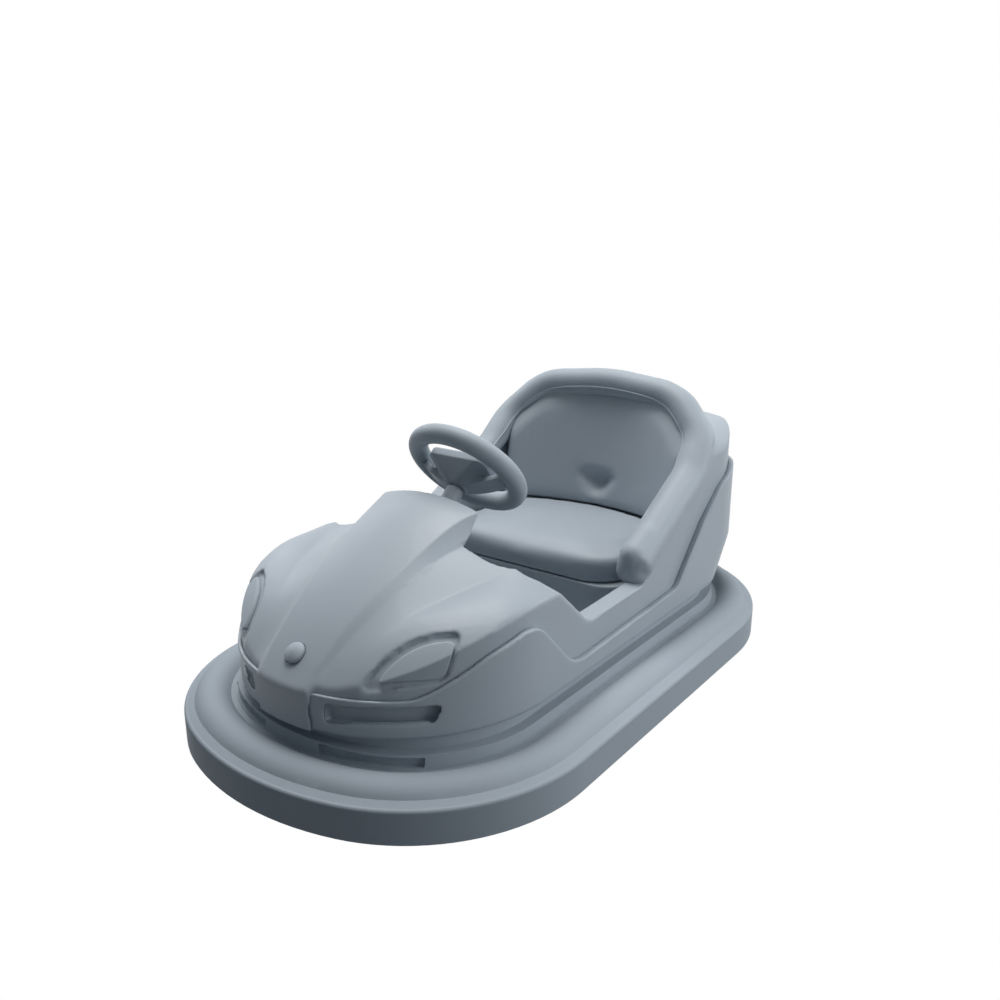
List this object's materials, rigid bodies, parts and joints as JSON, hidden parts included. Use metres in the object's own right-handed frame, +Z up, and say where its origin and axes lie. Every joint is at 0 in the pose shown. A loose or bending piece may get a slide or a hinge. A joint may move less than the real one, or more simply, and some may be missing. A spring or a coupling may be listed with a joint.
{
  "type": "bumper car",
  "caption": "One-seat fairground bumper car with a rubber ring bumper, sculpted two-tier body, padded bucket seat, steering wheel and steered drive wheel.",
  "frame": {"origin": "on the floor, under the middle of the bumper's length and width", "axes": "+Z up, -Y towards the front of the car, +X towards its left side"},
  "size_m": [1.061, 1.7998, 0.7983],
  "materials": {
    "body_shell": "glass-fibre moulding with a smooth satin gel coat",
    "bumper_rubber": "pale moulded rubber, matt",
    "cast": "cast aluminium wheel hub",
    "frame_paint": "pale painted steel",
    "padding": "padded vinyl cover, smooth",
    "steel": "bare steel with a satin finish",
    "trim": "pale moulded plastic, matt",
    "tyre": "solid moulded rubber tyre"
  },
  "bodies": {
    "chassis": {"axle_bracket_left": "frame_paint", "axle_bracket_right": "frame_paint", "backrest_pad": "padding", "backrest_shell": "body_shell", "badge_boss": "trim", "battery": "trim", "body_lower": "body_shell", "body_upper": "body_shell", "bumper_band": "bumper_rubber", "bumper_bead": "bumper_rubber", "bumper_rim": "frame_paint", "chassis_frame": "frame_paint", "dash_panel": "frame_paint", "fascia_insert_left": "trim", "fascia_insert_right": "trim", "floor_pan": "frame_paint", "headlamp_left": "trim", "headlamp_right": "trim", "hood_panel": "body_shell", "pedal": "frame_paint", "pedal_bracket": "frame_paint", "plinth_collar": "body_shell", "rear_axle": "steel", "seat_base": "body_shell", "seat_cushion": "padding", "seat_roll": "padding", "side_lining_left": "body_shell", "side_lining_right": "body_shell", "skirt": "trim", "steering_column": "frame_paint", "turntable_ring": "steel"},
    "steering": {"steering_rim": "trim", "steering_hub": "trim", "steering_shaft": "steel"},
    "drive_unit": {"drive_fork": "frame_paint", "drive_axle": "steel", "drive_motor": "frame_paint", "spindle_bridge": "frame_paint", "steering_spindle": "steel"},
    "drive_wheel": {"drive_tyre": "tyre", "drive_hub": "cast"},
    "rear_wheel_left": {"rear_tyre_left": "tyre", "rear_hub_left": "cast"},
    "rear_wheel_right": {"rear_tyre_right": "tyre", "rear_hub_right": "cast"}
  },
  "joints": [
    {"name": "steering_turn", "type": "hinge", "parent": "chassis", "child": "steering", "pos_m": [0, -0.1568, 0.631], "axis": [0, 0.7431, 0.6691], "continuous": true},
    {"name": "drive_turn", "type": "hinge", "parent": "chassis", "child": "drive_unit", "pos_m": [0, -0.42, 0.15], "axis": [0, 0, 1], "continuous": true},
    {"name": "drive_roll", "type": "hinge", "parent": "drive_unit", "child": "drive_wheel", "pos_m": [0, -0.42, 0.098], "axis": [1, 0, 0], "continuous": true},
    {"name": "rear_roll_left", "type": "hinge", "parent": "chassis", "child": "rear_wheel_left", "pos_m": [0.262, 0.43, 0.07], "axis": [1, 0, 0], "continuous": true},
    {"name": "rear_roll_right", "type": "hinge", "parent": "chassis", "child": "rear_wheel_right", "pos_m": [-0.262, 0.43, 0.07], "axis": [1, 0, 0], "continuous": true}
  ],
  "couplings": [
    {"joint": "drive_turn", "follows": "steering_turn", "ratio": 1}
  ]
}
